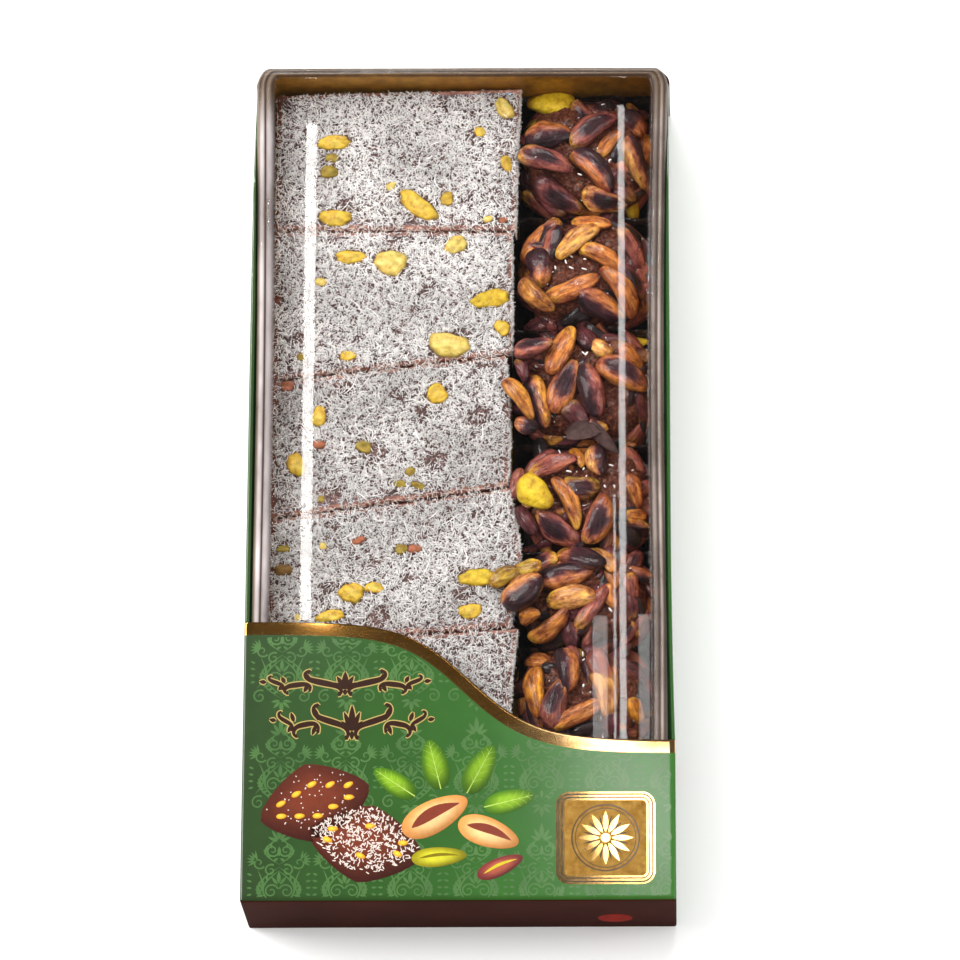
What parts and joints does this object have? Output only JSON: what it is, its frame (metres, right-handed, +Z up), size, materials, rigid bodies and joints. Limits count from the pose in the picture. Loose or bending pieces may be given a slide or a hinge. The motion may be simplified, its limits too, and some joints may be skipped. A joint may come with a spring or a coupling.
{
  "type": "boxed cezerye",
  "caption": "Flat retail box of cezerye: green cut-away carton, clear lid, gold tray with coconut-coated slabs and pistachio-covered pieces.",
  "frame": {"origin": "middle of the box's underside", "axes": "+X to the right across the box, +Y along it towards the far end, away from the printed top panel, +Z up"},
  "size_m": [0.15, 0.308, 0.042],
  "materials": {
    "carton": "satin printed",
    "tray": "metallic foil",
    "liner": "satin",
    "lid": "clear",
    "slab": "coated with shredded coconut",
    "nut_piece": "sticky, covered with nut kernels"
  },
  "bodies": {
    "root": {"carton": "carton", "tray": "tray", "liner": "liner", "lid": "lid", "slab_1": "slab", "slab_2": "slab", "slab_3": "slab", "slab_4": "slab", "slab_5": "slab", "slab_6": "slab", "nut_piece_1": "nut_piece", "nut_piece_2": "nut_piece", "nut_piece_3": "nut_piece", "nut_piece_4": "nut_piece", "nut_piece_5": "nut_piece", "nut_piece_6": "nut_piece", "nut_piece_7": "nut_piece"}
  },
  "joints": []
}
